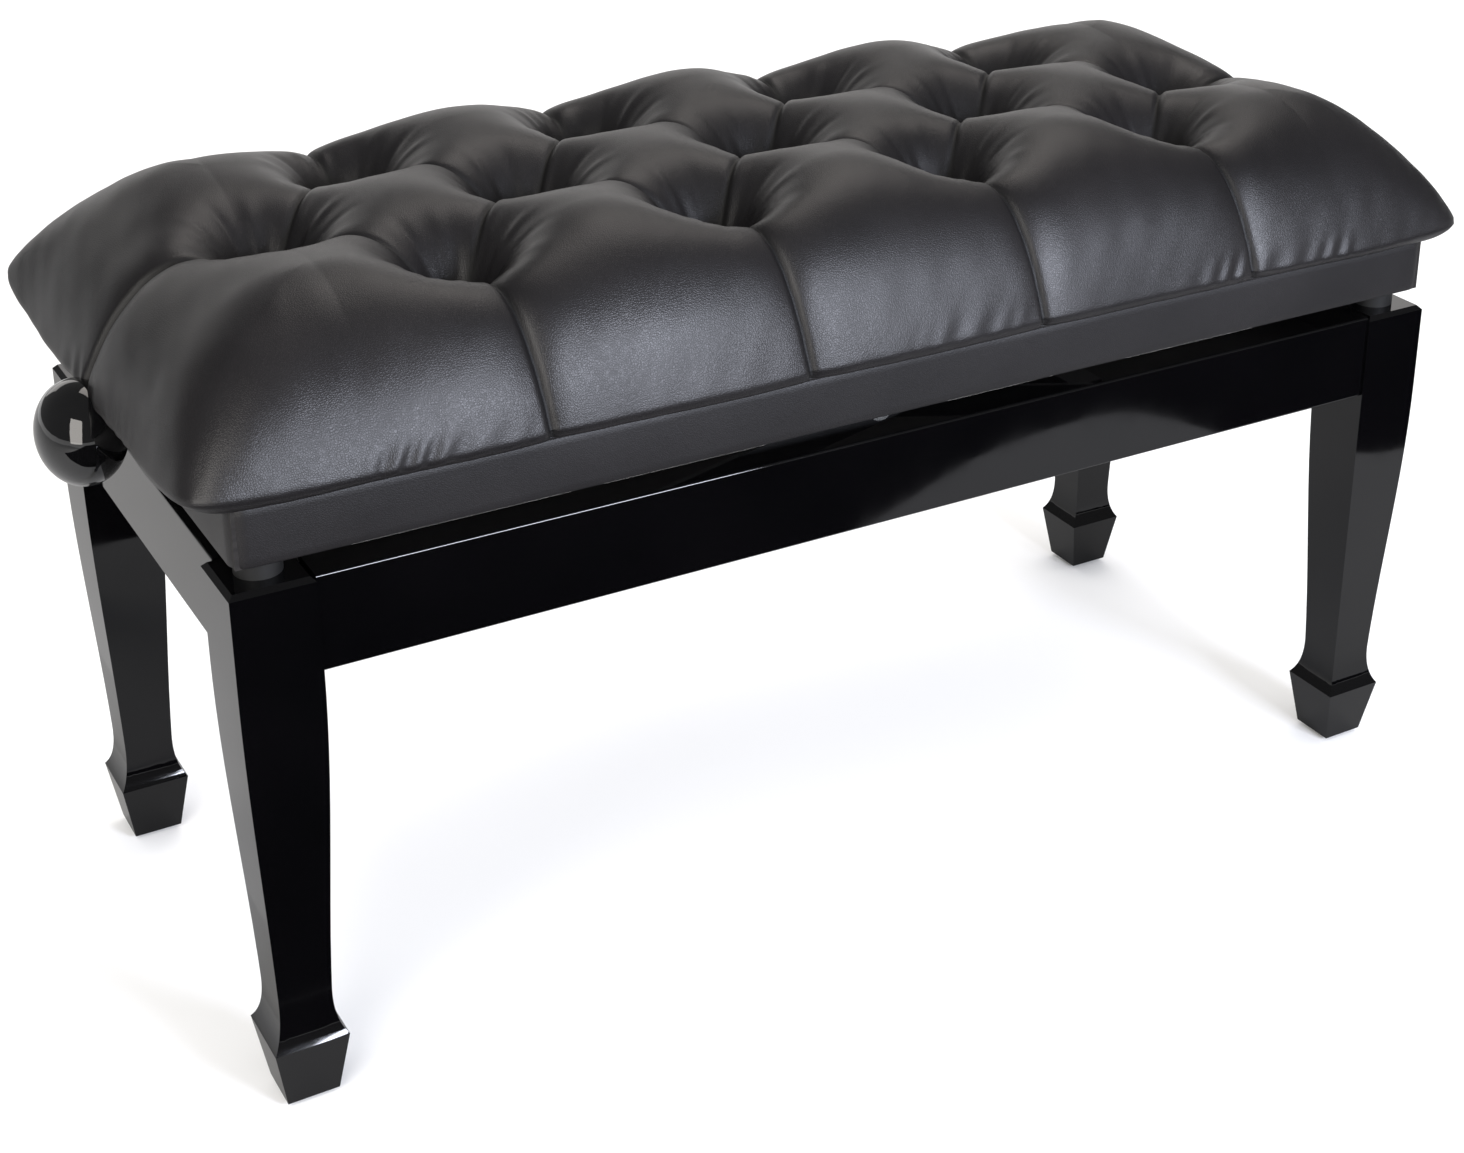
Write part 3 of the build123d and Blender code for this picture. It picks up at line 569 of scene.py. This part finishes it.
def leather_material(name, crease=True, dull=COVER_DULLNESS):
    """Soft black upholstery leather: fine pebbled grain, satin sheen, and painted shade that darkens the
    creases and the button pits.
    """
    n = Nodes(name)
    cloud = n.noise(14.0, 4.0)
    colour = n.colours(cloud, [(0.32, (0.0060, 0.0052, 0.0061)), (0.70, (0.0096, 0.0084, 0.0094))])
    pores = n.ramp(n.cells(LEATHER_GRAIN), 0.0, 1.0, 0.0, 0.22)
    colour = n.mix(n.ramp(pores, 0.35, 0.0), colour, (0.003, 0.003, 0.0032))
    roughness = n.ramp(n.noise(18.0, 3.0, 0.5), dull, dull + 0.05, 0.3, 0.7)
    if crease:
        # Painted shade: along the crease lines and in the bottoms of the button pits the colour is pulled
        # down to near black, standing in for their shadow; these places are also made rougher.
        dark = n.math("MAXIMUM", n.attribute("crease"), n.ramp(n.attribute("pit"), 0.0, 0.85, 0.75, 1.0))
        colour = n.mix(dark, colour, (0.0016, 0.0015, 0.0016))
        roughness = n.math("ADD", roughness, n.ramp(dark, 0.0, 0.25))
    fine = n.bump(pores, 0.00018, 0.32)
    broad = n.bump(n.noise(240.0, 3.0, 0.6), 0.00022, 0.18, fine)
    return n.finish(colour, roughness, broad, IOR=1.5)


def knob_material():
    """Polished black phenolic."""
    n = Nodes("polished_black_plastic")
    colour = n.colours(n.noise(40.0), [(0.3, (0.0022, 0.0022, 0.0025)), (0.7, (0.0036, 0.0036, 0.0040))])
    roughness = n.ramp(n.noise(90.0, 5.0), 0.025, 0.06, 0.35, 0.75)
    return n.finish(colour, roughness, n.bump(n.noise(60.0, 1.0), 0.00003, 0.25), IOR=1.55, Coat_Weight=0.5,
                    Coat_Roughness=0.015)


def wood_material(name, pale, dark, stretch):
    """Sawn wood with grain along the X axis and scattered pores."""
    n = Nodes(name)
    mapping = n.add("ShaderNodeMapping")
    n.link(n.place(), mapping.inputs["Vector"])
    mapping.inputs["Scale"].default_value = stretch
    flow = mapping.outputs["Vector"]
    figure = n.noise(28.0, 8.0, 0.62, flow)
    colour = n.colours(figure, [(0.34, dark), (0.66, pale)])
    pores = n.ramp(n.noise(260.0, 3.0, 0.5, flow), 0.0, 1.0, 0.58, 0.74)
    colour = n.mix(n.math("MULTIPLY", pores, 0.45), colour, dark)
    roughness = n.ramp(figure, 0.58, 0.74)
    return n.finish(colour, roughness, n.bump(figure, 0.0005, 0.35), IOR=1.45)


def metal_material(name, pale, dark, rough, metallic=1.0):
    """Plated or painted metal with fine drawn marks and slight clouding."""
    n = Nodes(name)
    mapping = n.add("ShaderNodeMapping")
    n.link(n.place(), mapping.inputs["Vector"])
    mapping.inputs["Scale"].default_value = (1.0, 12.0, 12.0)
    marks = n.noise(160.0, 6.0, 0.6, mapping.outputs["Vector"])
    cloud = n.noise(22.0, 4.0)
    colour = n.colours(cloud, [(0.3, dark), (0.7, pale)])
    roughness = n.ramp(marks, rough - 0.08, rough + 0.10, 0.3, 0.7)
    return n.finish(colour, roughness, n.bump(marks, 0.00008, 0.3), Metallic=metallic)


def moulded_material(name, pale, dark, rough, texture):
    """Moulded rubber or nylon with a fine spark-eroded texture."""
    n = Nodes(name)
    colour = n.colours(n.noise(35.0, 4.0), [(0.3, dark), (0.7, pale)])
    roughness = n.ramp(n.noise(70.0, 4.0), rough - 0.07, rough + 0.07, 0.3, 0.7)
    return n.finish(colour, roughness, n.bump(n.noise(texture, 2.0), 0.00012, 0.35), IOR=1.48)


def slot_materials():
    """One material for each of the record's slots."""
    return {
        "gloss_black": lacquer_material(),
        "black_leather": leather_material("button_leather", crease=False),
        "knob_black": knob_material(),
        "stained_wood": wood_material("stained_beech", (0.016, 0.014, 0.013), (0.006, 0.005, 0.005),
                                      (1.0, 9.0, 9.0)),
        "plywood": wood_material("stained_ply", (0.018, 0.016, 0.014), (0.008, 0.007, 0.006),
                                 (1.0, 7.0, 7.0)),
        "black_steel": metal_material("powder_coated_steel", (0.022, 0.022, 0.024), (0.014, 0.014, 0.015),
                                      0.42, 0.0),
        "zinc_steel": metal_material("zinc_plated_steel", (0.63, 0.63, 0.60), (0.46, 0.46, 0.45), 0.30),
        "brass": metal_material("turned_brass", (0.73, 0.54, 0.25), (0.55, 0.38, 0.16), 0.26),
        "rubber": moulded_material("black_rubber", (0.012, 0.012, 0.012), (0.007, 0.007, 0.007), 0.60, 900.0),
        "nylon": moulded_material("black_nylon", (0.034, 0.034, 0.034), (0.020, 0.020, 0.020), 0.45, 700.0),
        "foam": moulded_material("upholstery_foam", (0.75, 0.70, 0.56), (0.66, 0.60, 0.46), 0.90, 500.0),
    }


def dress_cad(materials):
    """Gives every CAD node its slot's material; the meshes stay as they come."""
    slot_of = {entry["node"]: entry["material_slot"] for entry in frame["record"]["subparts"]}
    for name, piece in frame["nodes"].items():
        piece.data.materials.clear()
        piece.data.materials.append(materials[slot_of[name]])


# ---------------------------------------------------------------- studio
def make_camera():
    """From the front left and above, looking at CAMERA_TARGET."""
    azimuth, elevation = math.radians(CAMERA_AZIMUTH), math.radians(CAMERA_ELEVATION)
    back = Vector((math.sin(azimuth) * math.cos(elevation), -math.cos(azimuth) * math.cos(elevation),
                   math.sin(elevation)))
    data = bpy.data.cameras.new("camera")
    data.lens = CAMERA_LENS
    data.sensor_width = 36.0
    data.shift_x, data.shift_y = CAMERA_SHIFT
    data.clip_start, data.clip_end = 0.01, 100.0
    camera = bpy.data.objects.new("camera", data)
    bpy.context.scene.collection.objects.link(camera)
    camera.location = CAMERA_TARGET + back * CAMERA_DISTANCE
    camera.rotation_mode = "QUATERNION"
    roll = Quaternion((0, 0, 1), math.radians(CAMERA_ROLL))
    camera.rotation_quaternion = (-back).to_track_quat("-Z", "Y") @ roll
    bpy.context.scene.camera = camera


def make_floor():
    """A wide, plain, pale floor."""
    half = 30.0
    mesh = bpy.data.meshes.new("floor")
    corners = [(-half, -half, 0), (half, -half, 0), (half, half, 0), (-half, half, 0)]
    mesh.from_pydata(corners, [], [(0, 1, 2, 3)])
    floor = bpy.data.objects.new("floor", mesh)
    bpy.context.scene.collection.objects.link(floor)
    n = Nodes("pale_floor")
    colour = n.colours(n.noise(3.0), [(0.2, (0.90, 0.90, 0.90)), (0.8, (0.92, 0.92, 0.92))])
    mesh.materials.append(n.finish(colour, Roughness=0.9, Specular_IOR_Level=0.0))


def ease(t):
    """Rises smoothly from 0 to 1 as t does."""
    t = np.clip(t, 0, 1)
    return t * t * (3 - 2 * t)


def sheet_edge(x):
    """The Y at which the mirrored floor ends and the painted dark sheet begins, at each X."""
    near = DARK_START - DARK_STEP * ease((x + 0.25) / 0.75)
    left = (1 - 0.16 * ease((PATCH_X - x) / 0.30)) * ease((x - 0.12) / 0.16)
    right = np.exp(-((x - PATCH_X) / PATCH_RIGHT) ** 4)
    return near - PATCH_REACH * np.where(x < PATCH_X, left, right)


def reflected_floor(name, near, far, tone):
    """A sheet on the floor that only reflections see, between two edges of points: painted shade of the
    floor, seen in the gloss.
    """
    mesh = bpy.data.meshes.new(name)
    faces = grid_faces(2, len(near))
    mesh.from_pydata([tuple(p) for p in np.concatenate([near, far])], [], [tuple(f) for f in faces])
    sheet = bpy.data.objects.new(name, mesh)
    bpy.context.scene.collection.objects.link(sheet)
    n = Nodes(name)
    colour = n.colours(n.noise(5.0), [(0.2, (tone,) * 3), (0.8, (tone * 1.1,) * 3)])
    mesh.materials.append(n.finish(colour, Roughness=1.0, Specular_IOR_Level=0.0))
    for ray in ("camera", "diffuse", "shadow", "transmission"):
        setattr(sheet, "visible_" + ray, False)


def make_reflected_floors():
    """Painted shade in reflections: the gloss sees a near black sheet out in front, which keeps it deep, and
    grey sheets nearer, while the floor itself stays pale.
    """
    x = np.linspace(-1.4, 3.0, 221)
    lift = np.full_like(x, DARK_HEIGHT)
    near = np.column_stack([x, sheet_edge(x), lift])
    far = np.column_stack([x, np.full_like(x, -3.2), lift])
    # Painted shade: the near black sheet, the grey one at the left and the grey one in front stand in for the
    # floor's shade in the reflections.
    reflected_floor("unlit_floor", near, far, 0.001)
    side = np.array([[FLOOR_SPLIT, -1.6, SHEET_HEIGHT], [FLOOR_SPLIT, 2.6, SHEET_HEIGHT]])
    reflected_floor("left_floor_painted_shade", side, side - np.array([2.6, 0.0, 0.0]), 0.42)
    reflected_floor("front_floor_painted_shade", side + np.array([3.8, 0.0, 0.0]), side, 0.35)


def make_light(name, place, aim, size, power, colour):
    """A rectangular area light of that size in metres and power in watts, turned towards aim."""
    data = bpy.data.lights.new(name, "AREA")
    data.shape = "RECTANGLE"
    data.size, data.size_y = size
    data.energy = power
    data.color = colour
    light = bpy.data.objects.new(name, data)
    bpy.context.scene.collection.objects.link(light)
    light.location = place
    light.rotation_mode = "QUATERNION"
    light.rotation_quaternion = (Vector(aim) - Vector(place)).to_track_quat("-Z", "Y")


def make_world():
    """An even white room for the floor, much dimmer where the bench mirrors it."""
    world = bpy.data.worlds.new("studio")
    bpy.context.scene.world = world
    world.use_nodes = True
    tree = world.node_tree
    background = tree.nodes["Background"]
    background.inputs["Color"].default_value = (1.0, 1.0, 1.0, 1.0)
    path = tree.nodes.new("ShaderNodeLightPath")
    dim = tree.nodes.new("ShaderNodeMapRange")
    dim.inputs["To Min"].default_value = 1.0
    dim.inputs["To Max"].default_value = MIRRORED_WORLD
    tree.links.new(path.outputs["Is Glossy Ray"], dim.inputs["Value"])
    tree.links.new(dim.outputs["Result"], background.inputs["Strength"])


def make_studio():
    """World, floor and four soft lights."""
    make_world()
    make_floor()
    make_reflected_floors()
    knob = (KNOB_LOW[0] + 0.03, -0.1, SCREW_HEIGHT)
    make_light("front_softbox", (0.50, -2.15, 1.05), SEAT_MIDDLE, (0.75, 0.50), 55.0, (0.83, 0.87, 1.0))
    make_light("top_softbox", (0.75, 0.75, 2.4), SEAT_MIDDLE, (1.6, 1.2), 15.0, (1.0, 0.94, 0.89))
    make_light("window", (-1.30, -1.05, 0.90), knob, (0.85, 1.3), 17.0, (1.0, 0.96, 0.91))
    make_light("back_wall", (0.70, 2.60, 1.15), SEAT_MIDDLE, (4.4, 1.3), 19.0, (1.0, 0.97, 0.95))
    bpy.context.scene.view_settings.view_transform = "Standard"


def main():
    """Camera, studio, CAD materials, then the three detailed pieces."""
    make_camera()
    make_studio()
    dress_cad(slot_materials())
    cover = leather_material("cushion_leather")
    plain = leather_material("band_leather", crease=False, dull=BAND_DULLNESS)
    make_cushion().data.materials.append(cover)
    make_band().data.materials.append(plain)
    make_welt().data.materials.append(plain)


main()
